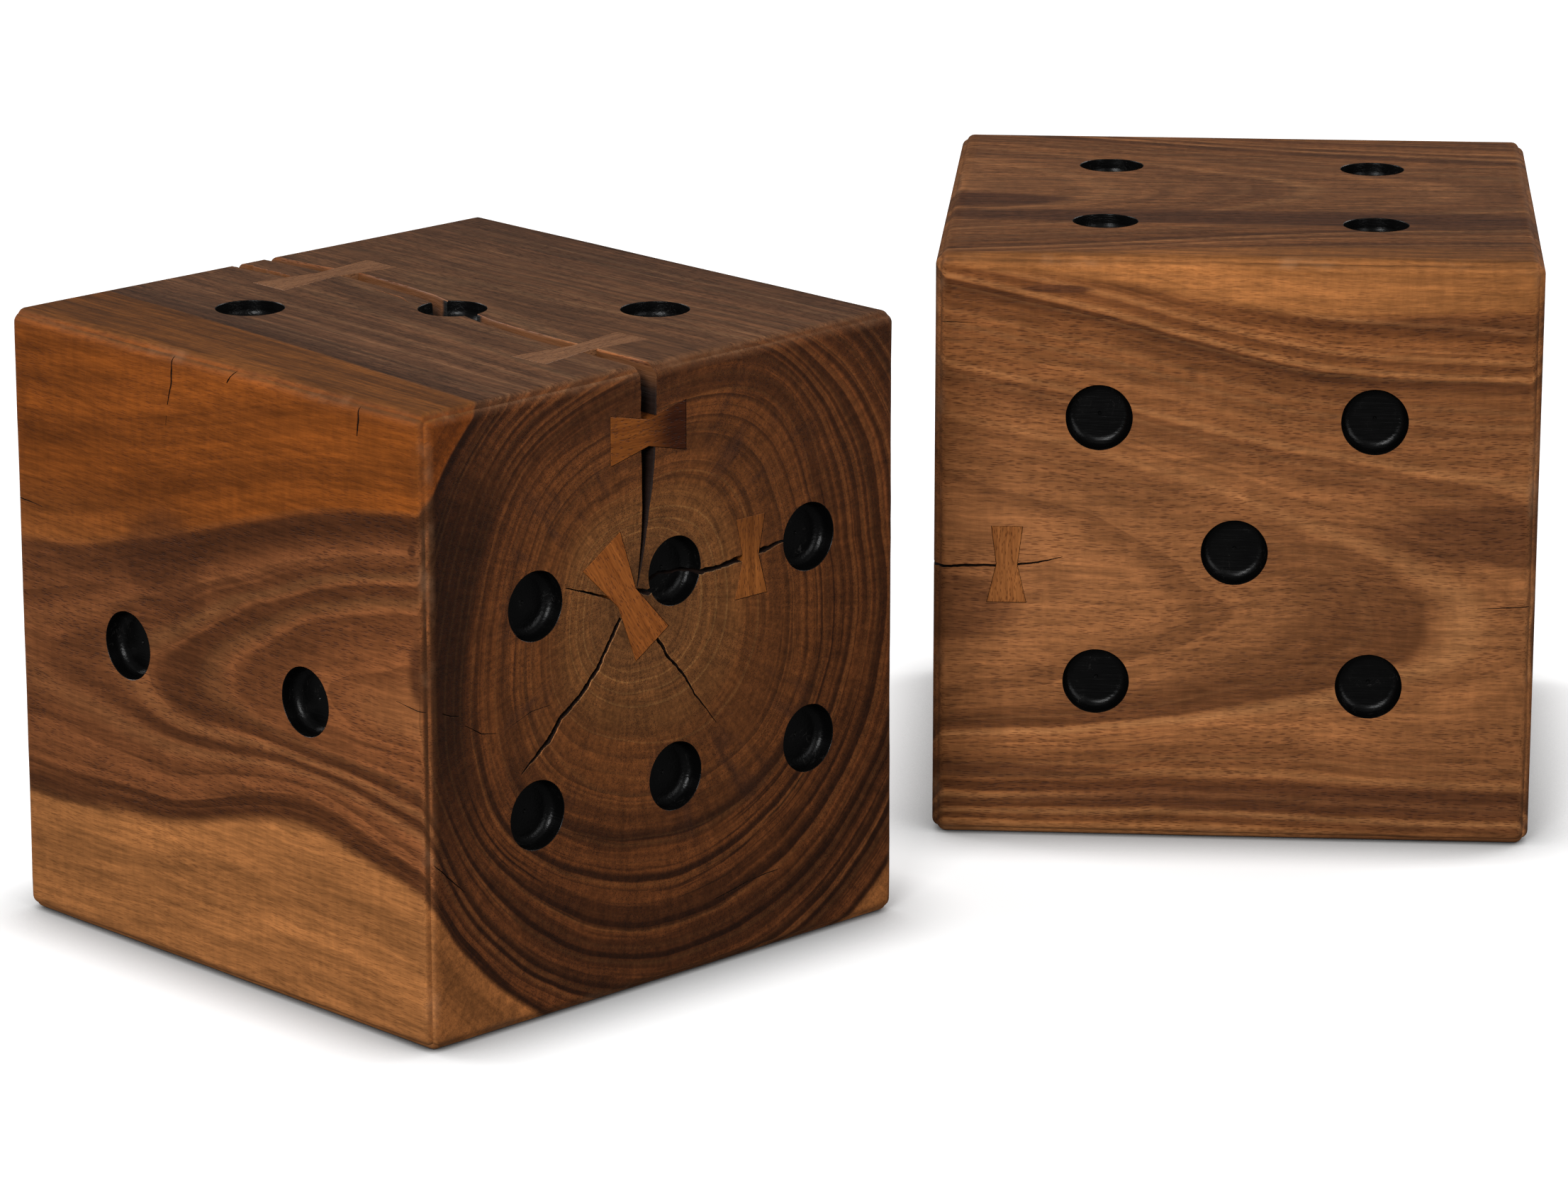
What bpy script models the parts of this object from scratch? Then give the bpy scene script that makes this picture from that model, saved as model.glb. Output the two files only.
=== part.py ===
"""A pair of giant wooden dice, each one solid block of log with butterfly keys let into its cracks.

Units are metres and +Z is up. The origin is the middle of the pair's footprint, on the floor.
Each die is modelled about its own centre. Its sides are named by the way they face there: front -Y,
back +Y, left -X, right +X, top +Z and bottom -Z. A place on a side is given as (across, up), in
edge lengths from the middle of the side, as that side is seen from outside.
"""

from math import cos, radians, sin

import bmesh
import bpy
from mathutils import Matrix, Vector

# Driving dimensions
EDGE = 0.4064                # cube edge, 16 inches
EDGE_ROUND = 0.009           # radius along the cube's edges
EDGE_STEPS = 3
PIP_RADIUS = 0.02225         # 1 3/4 inch cutter
PIP_DEPTH = 0.0125
PIP_FLOOR_ROUND = 0.0065     # radius between the pip's wall and its floor
PIP_SIDES = 24
PIP_ROUND_STEPS = 2
KEY_DEPTH = 0.0145           # thickness of a butterfly key
FIT_GAP = 0.0003             # clearance round a key
ABOVE = 0.004                # how far a cutter stands out of the side it cuts

# How the two dice stand on the floor
LEFT_YAW = radians(44.28)
RIGHT_YAW = radians(-4.17)
LEFT_TO_RIGHT = Vector((0.5319, 0.3487, 0.0))

# Pips, in edge lengths
CORNER = 0.227
PAIR = 0.216
SIX_COLUMNS = (-0.280, 0.010, 0.300)
SIX_ROW = 0.166
CORNER_PIPS = [(-CORNER, CORNER), (CORNER, CORNER), (-CORNER, -CORNER), (CORNER, -CORNER)]
PIPS = {
    1: [(0.0, 0.0)],
    2: [(-PAIR, 0.0), (PAIR, 0.0)],
    3: [(-CORNER, CORNER), (0.0, 0.0), (CORNER, -CORNER)],
    4: CORNER_PIPS,
    5: CORNER_PIPS + [(0.0, 0.0)],
    6: [(across, row) for row in (SIX_ROW, -SIX_ROW) for across in SIX_COLUMNS],
}
LEFT_NUMBERS = {"front": 6, "back": 1, "left": 2, "right": 5, "top": 3, "bottom": 4}
RIGHT_NUMBERS = {"front": 5, "back": 2, "left": 1, "right": 6, "top": 4, "bottom": 3}

# Across and up on each side; their cross product points out of the block
SIDES = {
    "front": (Vector((1, 0, 0)), Vector((0, 0, 1))),
    "back": (Vector((-1, 0, 0)), Vector((0, 0, 1))),
    "left": (Vector((0, -1, 0)), Vector((0, 0, 1))),
    "right": (Vector((0, 1, 0)), Vector((0, 0, 1))),
    "top": (Vector((1, 0, 0)), Vector((0, 1, 0))),
    "bottom": (Vector((1, 0, 0)), Vector((0, -1, 0))),
}

# Butterfly keys: side, middle, turn in degrees, length, width of each end, waist
LEFT_KEYS = {
    "left_die_front_upper_key": ("front", (-0.043, 0.395), 0, 0.0640, (0.0320, 0.0320), 0.0170),
    "left_die_front_centre_key": ("front", (-0.090, 0.142), -58, 0.0800, (0.0370, 0.0330), 0.0175),
    "left_die_front_side_key": ("front", (0.174, 0.158), 90, 0.0525, (0.0285, 0.0250), 0.0135),
    "left_die_top_front_key": ("top", (-0.034, -0.338), 2, 0.0920, (0.0310, 0.0290), 0.0160),
    "left_die_top_rear_key": ("top", (0.012, 0.324), 0, 0.0980, (0.0320, 0.0300), 0.0165),
    "left_die_back_upper_key": ("back", (0.010, 0.385), -4, 0.0880, (0.0330, 0.0310), 0.0165),
    "left_die_back_lower_key": ("back", (0.192, -0.030), 34, 0.0680, (0.0320, 0.0300), 0.0160),
}
RIGHT_KEYS = {
    "right_die_front_key": ("front", (-0.3775, -0.0275), 90, 0.0530, (0.0265, 0.0210), 0.0140),
    "right_die_left_end_key": ("left", (0.350, -0.028), 88, 0.0600, (0.0300, 0.0280), 0.0150),
    "right_die_right_end_rear_key": ("right", (0.205, 0.014), 84, 0.0580, (0.0290, 0.0290), 0.0150),
    "right_die_right_end_front_key": ("right", (-0.145, -0.048), 98, 0.0560, (0.0280, 0.0290), 0.0145),
}

# Drying cracks: side, depth, then (across, up, width in millimetres) along the crack
LEFT_CRACKS = {
    "front_right": ("front", 0.026, [
        (-0.073, 0.152, 1.8), (-0.046, 0.142, 4.0), (0.003, 0.158, 3.2), (0.060, 0.154, 3.4),
        (0.104, 0.153, 2.7), (0.150, 0.158, 4.0), (0.205, 0.163, 3.4), (0.250, 0.170, 1.4)]),
    "front_left": ("front", 0.018, [(-0.217, 0.182, 0.6), (-0.167, 0.165, 1.3), (-0.125, 0.148, 1.8)]),
    "front_lower_left": ("front", 0.030, [
        (-0.104, 0.112, 2.7), (-0.152, 0.042, 3.0), (-0.190, 0.004, 3.7), (-0.229, -0.021, 3.4),
        (-0.258, -0.054, 3.7), (-0.312, -0.094, 0.7)]),
    "front_lower_right": ("front", 0.022, [
        (-0.030, 0.070, 2.4), (-0.003, 0.029, 2.0), (0.025, 0.000, 1.7), (0.050, -0.038, 1.3),
        (0.098, -0.097, 0.5)]),
    "top_rear": ("top", 0.040, [(-0.043, 0.515, 9.5), (-0.042, 0.440, 8.5), (-0.038, 0.345, 4.0)]),
    "back_upper": ("back", 0.045, [
        (0.043, 0.515, 9.0), (0.047, 0.385, 8.0), (0.056, 0.270, 5.0), (0.070, 0.150, 1.6)]),
    "back_lower": ("back", 0.032, [
        (0.074, 0.135, 2.2), (0.130, 0.058, 3.6), (0.192, -0.030, 4.2), (0.243, -0.120, 3.0),
        (0.318, -0.220, 0.7)]),
    "back_side": ("back", 0.020, [
        (0.064, 0.150, 1.6), (-0.060, 0.176, 2.8), (-0.170, 0.170, 2.2), (-0.268, 0.190, 0.6)]),
}
RIGHT_CRACKS = {
    "front_left": ("front", 0.020, [
        (-0.515, -0.034, 1.6), (-0.450, -0.031, 1.5), (-0.3775, -0.029, 1.4), (-0.325, -0.023, 1.0),
        (-0.285, -0.013, 0.4)]),
    "left_end_front": ("left", 0.030, [
        (0.515, -0.034, 1.6), (0.430, -0.026, 3.4), (0.350, -0.030, 4.0), (0.270, -0.022, 3.4),
        (0.205, -0.032, 1.6)]),
    "left_end_lower": ("left", 0.026, [
        (0.198, -0.036, 1.8), (0.120, -0.110, 3.2), (0.030, -0.190, 3.0), (-0.080, -0.290, 0.7)]),
    "left_end_upper": ("left", 0.020, [(0.204, -0.024, 1.6), (0.236, 0.090, 2.6), (0.228, 0.235, 0.6)]),
    "right_end_rear": ("right", 0.030, [
        (0.000, -0.100, 1.6), (0.090, -0.020, 3.4), (0.205, 0.014, 4.2), (0.330, 0.026, 3.6),
        (0.515, 0.040, 2.2)]),
    "right_end_front": ("right", 0.024, [
        (-0.004, -0.102, 1.6), (-0.080, -0.062, 3.0), (-0.145, -0.048, 3.6), (-0.240, -0.030, 2.8),
        (-0.400, 0.004, 0.6)]),
    "right_end_lower": ("right", 0.026, [
        (0.004, -0.108, 1.6), (0.050, -0.210, 3.2), (0.110, -0.320, 2.6), (0.128, -0.430, 0.6)]),
}

# The wide crack that runs the length of the left die, from its top down to the heart of the log:
# place along Y and X in edge lengths, width at the top and depth in millimetres
LONG_CRACK = [
    (-0.515, -0.043, 12.4, 146), (-0.450, -0.040, 12.6, 120), (-0.340, -0.036, 13.0, 72),
    (-0.245, -0.034, 12.4, 48), (-0.160, -0.027, 9.6, 40), (-0.100, -0.019, 9.0, 36),
    (0.000, 0.004, 10.2, 36), (0.090, 0.028, 11.0, 38), (0.180, 0.038, 12.4, 44),
    (0.280, 0.044, 13.2, 56), (0.380, 0.036, 9.8, 84), (0.515, 0.024, 9.4, 132),
]
# Its cross-section: depth and width as fractions, from the top down
LONG_CRACK_SECTION = [(0.35, 0.92), (0.54, 0.67), (0.65, 0.40), (0.85, 0.22), (1.0, 0.06)]
LONG_CRACK_LEAN = -0.028     # sideways drift of its foot, in edge lengths

# Colours: linear RGB, roughness
LEFT_WOOD = ((0.270, 0.130, 0.058), 0.42)
RIGHT_WOOD = ((0.380, 0.185, 0.075), 0.42)
KEY_WOOD = ((0.470, 0.210, 0.075), 0.45)


def clear_scene():
    for thing in list(bpy.data.objects):
        bpy.data.objects.remove(thing, do_unlink=True)


def wood(name, look):
    colour, roughness = look
    material = bpy.data.materials.new(name)
    material.use_nodes = True
    shader = material.node_tree.nodes["Principled BSDF"]
    shader.inputs["Base Color"].default_value = (*colour, 1.0)
    shader.inputs["Roughness"].default_value = roughness
    shader.inputs["Metallic"].default_value = 0.0
    return material


def add_object(name, bm, parent, material=None):
    """Makes a named object from a bmesh, under the die that it belongs to."""
    bmesh.ops.recalc_face_normals(bm, faces=bm.faces)
    mesh = bpy.data.meshes.new(name)
    bm.to_mesh(mesh)
    bm.free()
    mesh.shade_smooth()
    mesh.set_sharp_from_angle(angle=radians(32))
    if material:
        mesh.materials.append(material)
    thing = bpy.data.objects.new(name, mesh)
    thing.parent = parent
    bpy.context.collection.objects.link(thing)
    return thing


def side_matrix(side):
    """Maps (across, up, out) in metres on a side to the die's own frame."""
    across, up = SIDES[side]
    out = across.cross(up)
    rows = Matrix((across, up, out)).transposed().to_4x4()
    return Matrix.Translation(out * EDGE / 2) @ rows


def loft(bm, rings):
    """Skins closed rings of equal length and caps both ends."""
    count = len(rings[0])
    rings = [[bm.verts.new(point) for point in ring] for ring in rings]
    for lower, upper in zip(rings, rings[1:]):
        for i in range(count):
            j = (i + 1) % count
            bm.faces.new((lower[i], lower[j], upper[j], upper[i]))
    bm.faces.new(list(reversed(rings[0])))
    bm.faces.new(rings[-1])


def pip_profile():
    """Radius and height of the pip cutter, from its floor up through the side."""
    centre_radius = PIP_RADIUS - PIP_FLOOR_ROUND
    centre_height = PIP_FLOOR_ROUND - PIP_DEPTH
    profile = []
    for step in range(PIP_ROUND_STEPS + 1):
        turn = radians(90) * step / PIP_ROUND_STEPS
        profile.append((centre_radius + PIP_FLOOR_ROUND * sin(turn),
                        centre_height - PIP_FLOOR_ROUND * cos(turn)))
    profile.append((PIP_RADIUS, ABOVE))
    return profile


def pip_cutter(name, numbers, parent):
    bm = bmesh.new()
    for side, number in numbers.items():
        place = side_matrix(side)
        for across, up in PIPS[number]:
            rings = []
            for radius, height in pip_profile():
                ring = []
                for i in range(PIP_SIDES):
                    turn = radians(360) * i / PIP_SIDES
                    ring.append(place @ Vector((across * EDGE + radius * cos(turn),
                                                up * EDGE + radius * sin(turn), height)))
                rings.append(ring)
            loft(bm, rings)
    return as_cutter(add_object(name, bm, parent))


def butterfly(length, ends, waist):
    """Outline of a butterfly key, anticlockwise, with its length across."""
    far, near = ends[1] / 2, ends[0] / 2
    half = length / 2
    return [Vector(p) for p in ((-half, -near), (0, -waist / 2), (half, -far),
                                (half, far), (0, waist / 2), (-half, near))]


def grown(outline, gap):
    """The outline with every edge moved outwards by the gap."""
    count = len(outline)
    lines = []
    for i in range(count):
        start, end = outline[i], outline[(i + 1) % count]
        along = (end - start).normalized()
        lines.append((start + Vector((along.y, -along.x)) * gap, along))
    points = []
    for i in range(count):
        (a, along_a), (b, along_b) = lines[i - 1], lines[i]
        cross = along_a.x * along_b.y - along_a.y * along_b.x
        reach = ((b.x - a.x) * along_b.y - (b.y - a.y) * along_b.x) / cross
        points.append(a + along_a * reach)
    return points


def key_prism(bm, key, gap, bottom, top):
    """One key-shaped prism on its side, between two heights, grown by a gap."""
    side, middle, turn, length, ends, waist = key
    place = (side_matrix(side) @ Matrix.Translation((middle[0] * EDGE, middle[1] * EDGE, 0))
             @ Matrix.Rotation(radians(turn), 4, "Z"))
    outline = butterfly(length, ends, waist)
    if gap:
        outline = grown(outline, gap)
    rings = [[place @ Vector((point.x, point.y, height)) for point in outline] for height in (bottom, top)]
    loft(bm, rings)


def mortise_cutter(name, keys, parent):
    bm = bmesh.new()
    for key in keys.values():
        key_prism(bm, key, FIT_GAP, -KEY_DEPTH - FIT_GAP, ABOVE)
    return as_cutter(add_object(name, bm, parent))


def crack_cutter(name, crack, parent):
    """A V-shaped groove along a crack; it gets shallower where the crack gets narrower."""
    side, depth, points = crack
    place = side_matrix(side)
    widest = max(width for _, _, width in points)
    path = [Vector((across * EDGE, up * EDGE)) for across, up, _ in points]
    rings = []
    for i, (_, _, width) in enumerate(points):
        along = (path[min(i + 1, len(path) - 1)] - path[max(i - 1, 0)]).normalized()
        beside = Vector((-along.y, along.x)) * width / 2000
        here = depth * (width / widest) ** 0.5
        flare = 1 + ABOVE / here
        left, right = path[i] + beside * flare, path[i] - beside * flare
        rings.append([place @ Vector((*right, ABOVE)), place @ Vector((*left, ABOVE)),
                      place @ Vector((*path[i], -here))])
    bm = bmesh.new()
    loft(bm, rings)
    return as_cutter(add_object(name, bm, parent))


def long_crack_cutter(parent):
    """The wide crack, lofted from front to back."""
    rings = []
    for y, x, width, depth in LONG_CRACK:
        levels = [(-ABOVE * 1000 / depth, 1.0)] + LONG_CRACK_SECTION
        one_side, other_side = [], []
        for down, share in levels:
            drift = LONG_CRACK_LEAN * max(down, 0) ** 3 * depth / LONG_CRACK[0][3]
            centre = (x + drift) * EDGE
            height = EDGE / 2 - down * depth / 1000
            half = width * share / 2000
            one_side.append(Vector((centre + half, y * EDGE, height)))
            other_side.append(Vector((centre - half, y * EDGE, height)))
        rings.append(one_side + list(reversed(other_side)))
    bm = bmesh.new()
    loft(bm, rings)
    return as_cutter(add_object("left_long_crack_cutter", bm, parent))


def as_cutter(thing):
    thing.hide_render = True
    thing.display_type = "WIRE"
    return thing


def make_block(name, cutters, parent, material):
    """A cube with rounded edges, cut by each cutter in turn."""
    bm = bmesh.new()
    bmesh.ops.create_cube(bm, size=EDGE)
    block = add_object(name, bm, parent, material)
    bevel = block.modifiers.new("edge_round", "BEVEL")
    bevel.width = EDGE_ROUND
    bevel.segments = EDGE_STEPS
    bevel.limit_method = "NONE"
    for cutter in cutters:
        cut = block.modifiers.new(cutter.name, "BOOLEAN")
        cut.operation = "DIFFERENCE"
        cut.solver = "EXACT"
        cut.object = cutter
    return block


def make_die(word, place, numbers, keys, cracks, look):
    """One die: its block, with pips, cracks and mortises cut, and its keys."""
    block_wood = wood(word + "_die_wood", look)
    cutters = [mortise_cutter(word + "_mortise_cutter", keys, place),
               pip_cutter(word + "_pip_cutter", numbers, place)]
    for name, crack in cracks.items():
        cutters.append(crack_cutter(f"{word}_{name}_crack_cutter", crack, place))
    if word == "left":
        cutters.append(long_crack_cutter(place))
    make_block(word + "_die_block", cutters, place, block_wood)
    for name, key in keys.items():
        bm = bmesh.new()
        key_prism(bm, key, 0, -KEY_DEPTH, 0)
        add_object(name, bm, place, wood(name + "_wood", KEY_WOOD))


def half_span(yaw):
    """Half the width and depth of a turned cube with round edges."""
    return (EDGE / 2 - EDGE_ROUND) * (abs(cos(yaw)) + abs(sin(yaw))) + EDGE_ROUND


def die_places():
    """Centres of both dice, with the middle of their joint footprint at the origin."""
    left, right = Vector((0, 0, 0)), LEFT_TO_RIGHT
    lowest = [min(left[i] - half_span(LEFT_YAW), right[i] - half_span(RIGHT_YAW)) for i in (0, 1)]
    highest = [max(left[i] + half_span(LEFT_YAW), right[i] + half_span(RIGHT_YAW)) for i in (0, 1)]
    shift = Vector((-(lowest[0] + highest[0]) / 2, -(lowest[1] + highest[1]) / 2, EDGE / 2))
    return left + shift, right + shift


def add_place(name, centre, yaw):
    place = bpy.data.objects.new(name, None)
    place.location = centre
    place.rotation_euler = (0, 0, yaw)
    bpy.context.collection.objects.link(place)
    return place


def main():
    clear_scene()
    left_centre, right_centre = die_places()
    left_place = add_place("left_die_place", left_centre, LEFT_YAW)
    right_place = add_place("right_die_place", right_centre, RIGHT_YAW)
    make_die("left", left_place, LEFT_NUMBERS, LEFT_KEYS, LEFT_CRACKS, LEFT_WOOD)
    make_die("right", right_place, RIGHT_NUMBERS, RIGHT_KEYS, RIGHT_CRACKS, RIGHT_WOOD)


main()
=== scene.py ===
"""The looks of a pair of giant wooden dice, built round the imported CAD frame.

Each die is one block of log: a rounded cube that is cut here again with finer pips, ragged cracks and
mortises, under a solid wood material whose growth rings run through the whole block. Butterfly keys of
other wood lie in the mortises. A place on a side is (across, up) in edge lengths from its middle, as
that side is seen from outside; inside a block everything is in the die's own frame.
"""

from math import cos, pi, radians, sin, tan

import bmesh
import bpy
from mathutils import Matrix, Vector, noise


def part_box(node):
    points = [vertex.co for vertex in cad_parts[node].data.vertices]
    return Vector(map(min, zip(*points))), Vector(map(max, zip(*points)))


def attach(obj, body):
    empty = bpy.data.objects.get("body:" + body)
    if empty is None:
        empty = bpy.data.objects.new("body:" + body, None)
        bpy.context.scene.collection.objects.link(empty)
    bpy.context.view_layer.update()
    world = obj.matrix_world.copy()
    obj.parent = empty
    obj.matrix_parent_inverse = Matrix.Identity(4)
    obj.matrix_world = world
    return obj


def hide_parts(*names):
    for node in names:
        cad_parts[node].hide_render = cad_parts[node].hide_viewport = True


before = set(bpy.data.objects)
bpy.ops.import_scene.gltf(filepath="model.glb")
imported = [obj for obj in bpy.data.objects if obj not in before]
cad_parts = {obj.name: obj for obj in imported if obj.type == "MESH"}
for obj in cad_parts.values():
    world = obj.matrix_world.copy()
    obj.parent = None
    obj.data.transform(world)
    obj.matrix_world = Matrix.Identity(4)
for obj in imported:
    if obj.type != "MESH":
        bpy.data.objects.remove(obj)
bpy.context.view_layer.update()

# Sizes in metres and turns that the CAD model also has
LEFT_YAW = radians(44.28)
RIGHT_YAW = radians(-4.17)
EDGE_ROUND = 0.009
PIP_RADIUS = 0.02225
PIP_DEPTH = 0.0125
PIP_FLOOR_ROUND = 0.0065
KEY_DEPTH = 0.0145
FIT_GAP = 0.0003
ABOVE = 0.004  # how far a cutter stands out of a side

# Pips, in edge lengths
CORNER = 0.227
PAIR = 0.216
SIX_COLUMNS = (-0.28, 0.01, 0.3)
SIX_ROW = 0.166
CORNER_PIPS = [(-CORNER, CORNER), (CORNER, CORNER), (-CORNER, -CORNER), (CORNER, -CORNER)]
PIPS = {
    1: [(0.0, 0.0)],
    2: [(-PAIR, 0.0), (PAIR, 0.0)],
    3: [(-CORNER, CORNER), (0.0, 0.0), (CORNER, -CORNER)],
    4: CORNER_PIPS,
    5: CORNER_PIPS + [(0.0, 0.0)],
    6: [(across, row) for row in (SIX_ROW, -SIX_ROW) for across in SIX_COLUMNS],
}
LEFT_NUMBERS = {"front": 6, "back": 1, "left": 2, "right": 5, "top": 3, "bottom": 4}
RIGHT_NUMBERS = {"front": 5, "back": 2, "left": 1, "right": 6, "top": 4, "bottom": 3}
X, Y, Z = (Vector(row) for row in Matrix.Identity(3))
SIDES = {
    "front": (X, Z),
    "back": (-X, Z),
    "left": (-Y, Z),
    "right": (Y, Z),
    "top": (X, Y),
    "bottom": (X, -Y),
}

# Butterfly keys by name: side, middle, turn in degrees, length, width of each end, waist
LEFT_KEYS = {
    "front_upper": ("front", (-0.043, 0.395), 0, 0.064, (0.032, 0.032), 0.017),
    "front_centre": ("front", (-0.09, 0.142), -58, 0.08, (0.037, 0.033), 0.0175),
    "front_side": ("front", (0.174, 0.158), 90, 0.0525, (0.0285, 0.025), 0.0135),
    "top_front": ("top", (-0.034, -0.338), 2, 0.092, (0.031, 0.029), 0.016),
    "top_rear": ("top", (0.012, 0.324), 0, 0.098, (0.032, 0.03), 0.0165),
    "back_upper": ("back", (0.01, 0.385), -4, 0.088, (0.033, 0.031), 0.0165),
    "back_lower": ("back", (0.192, -0.03), 34, 0.068, (0.032, 0.03), 0.016),
}
RIGHT_KEYS = {
    "front": ("front", (-0.3775, -0.0275), 90, 0.053, (0.0265, 0.021), 0.014),
    "left_end": ("left", (0.35, -0.028), 88, 0.06, (0.03, 0.028), 0.015),
    "right_end_rear": ("right", (0.205, 0.014), 84, 0.058, (0.029, 0.029), 0.015),
    "right_end_front": ("right", (-0.145, -0.048), 98, 0.056, (0.028, 0.029), 0.0145),
}

# Drying cracks: side, depth, then (across, up, width in millimetres) along the crack
LEFT_CRACKS = [
    ("front", 0.026, [
        (-0.073, 0.152, 1.8), (-0.046, 0.142, 4.0), (0.003, 0.158, 3.2), (0.06, 0.154, 3.4),
        (0.104, 0.153, 2.7), (0.15, 0.158, 4.0), (0.205, 0.163, 3.4), (0.25, 0.17, 1.4)]),
    ("front", 0.018, [(-0.217, 0.182, 0.6), (-0.167, 0.165, 1.3), (-0.125, 0.148, 1.8)]),
    ("front", 0.03, [
        (-0.104, 0.112, 2.7), (-0.152, 0.042, 3.0), (-0.19, 0.004, 3.7), (-0.229, -0.021, 3.4),
        (-0.258, -0.054, 3.7), (-0.312, -0.094, 0.7)]),
    ("front", 0.022, [
        (-0.03, 0.07, 2.4), (-0.003, 0.029, 2.0), (0.025, 0.0, 1.7), (0.05, -0.038, 1.3),
        (0.098, -0.097, 0.5)]),
    ("top", 0.04, [(-0.043, 0.515, 9.5), (-0.042, 0.44, 8.5), (-0.038, 0.345, 4.0)]),
    ("back", 0.045, [
        (0.043, 0.515, 9.0), (0.047, 0.385, 8.0), (0.056, 0.27, 5.0), (0.07, 0.15, 1.6)]),
    ("back", 0.032, [
        (0.074, 0.135, 2.2), (0.13, 0.058, 3.6), (0.192, -0.03, 4.2), (0.243, -0.12, 3.0),
        (0.318, -0.22, 0.7)]),
    ("back", 0.02, [
        (0.064, 0.15, 1.6), (-0.06, 0.176, 2.8), (-0.17, 0.17, 2.2), (-0.268, 0.19, 0.6)]),
]
RIGHT_CRACKS = [
    ("front", 0.02, [
        (-0.515, -0.034, 1.6), (-0.45, -0.031, 1.5), (-0.3775, -0.029, 1.4), (-0.325, -0.023, 1.0),
        (-0.285, -0.013, 0.4)]),
    ("left", 0.03, [
        (0.515, -0.034, 1.6), (0.43, -0.026, 3.4), (0.35, -0.03, 4.0), (0.27, -0.022, 3.4),
        (0.205, -0.032, 1.6)]),
    ("left", 0.026, [
        (0.198, -0.036, 1.8), (0.12, -0.11, 3.2), (0.03, -0.19, 3.0), (-0.08, -0.29, 0.7)]),
    ("left", 0.02, [(0.204, -0.024, 1.6), (0.236, 0.09, 2.6), (0.228, 0.235, 0.6)]),
    ("right", 0.03, [
        (0.0, -0.1, 1.6), (0.09, -0.02, 3.4), (0.205, 0.014, 4.2), (0.33, 0.026, 3.6),
        (0.515, 0.04, 2.2)]),
    ("right", 0.024, [
        (-0.004, -0.102, 1.6), (-0.08, -0.062, 3.0), (-0.145, -0.048, 3.6), (-0.24, -0.03, 2.8),
        (-0.4, 0.004, 0.6)]),
    ("right", 0.026, [
        (0.004, -0.108, 1.6), (0.05, -0.21, 3.2), (0.11, -0.32, 2.6), (0.128, -0.43, 0.6)]),
]
# Hairline checks, in the same terms
LEFT_CHECKS = [
    ("front", 0.003, [(0.093, -0.388, 0.5), (0.133, -0.382, 0.8), (0.167, -0.375, 0.6)]),
    ("front", 0.003, [(0.176, -0.374, 0.5), (0.205, -0.371, 0.7), (0.232, -0.37, 0.4)]),
    ("front", 0.003, [(-0.47, 0.036, 0.5), (-0.452, 0.028, 0.9), (-0.437, 0.025, 0.5)]),
    ("front", 0.0025, [(-0.425, 0.008, 0.4), (-0.392, -0.012, 0.6), (-0.362, -0.018, 0.4)]),
    ("front", 0.0025, [(-0.33, -0.012, 0.3), (-0.29, 0.002, 0.5), (-0.252, 0.004, 0.3)]),
    ("front", 0.003, [(-0.493, -0.196, 0.5), (-0.462, -0.225, 0.9), (-0.429, -0.256, 0.4)]),
    ("front", 0.0025, [(0.268, -0.245, 0.4), (0.28, -0.232, 0.6), (0.289, -0.222, 0.4)]),
    ("left", 0.004, [(-0.086, 0.51, 0.9), (-0.09, 0.45, 1.3), (-0.101, 0.412, 0.7)]),
    ("left", 0.003, [(-0.104, 0.394, 0.4), (-0.106, 0.385, 0.5), (-0.106, 0.378, 0.3)]),
    ("left", 0.004, [(0.08, 0.51, 0.9), (0.06, 0.492, 1.2), (0.045, 0.472, 0.7)]),
    ("left", 0.004, [(0.353, 0.49, 0.7), (0.353, 0.468, 1.5), (0.349, 0.444, 0.8)]),
    ("left", 0.004, [(-0.515, 0.193, 1.0), (-0.462, 0.19, 0.8), (-0.425, 0.187, 0.3)]),
    ("left", 0.003, [(0.43, 0.047, 0.3), (0.465, 0.043, 0.6), (0.515, 0.038, 0.7)]),
    ("top", 0.004, [(-0.022, 0.08, 0.5), (-0.006, 0.12, 1.4), (0.0, 0.19, 0.5)]),
    ("right", 0.004, [(-0.51, -0.12, 0.8), (-0.44, -0.116, 0.9), (-0.35, -0.112, 0.4)]),
]
RIGHT_CHECKS = [
    ("front", 0.003, [(0.404, -0.089, 0.3), (0.45, -0.086, 0.6), (0.515, -0.082, 0.7)]),
    ("front", 0.003, [(-0.515, 0.384, 0.6), (-0.47, 0.386, 0.5), (-0.43, 0.384, 0.3)]),
    ("back", 0.004, [(-0.515, 0.21, 0.9), (-0.42, 0.206, 0.8), (-0.33, 0.209, 0.4)]),
    ("left", 0.003, [(-0.15, 0.24, 0.3), (-0.19, 0.3, 0.8), (-0.24, 0.35, 0.3)]),
    ("right", 0.003, [(-0.1, 0.25, 0.3), (-0.12, 0.33, 0.8), (-0.16, 0.4, 0.3)]),
]
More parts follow.
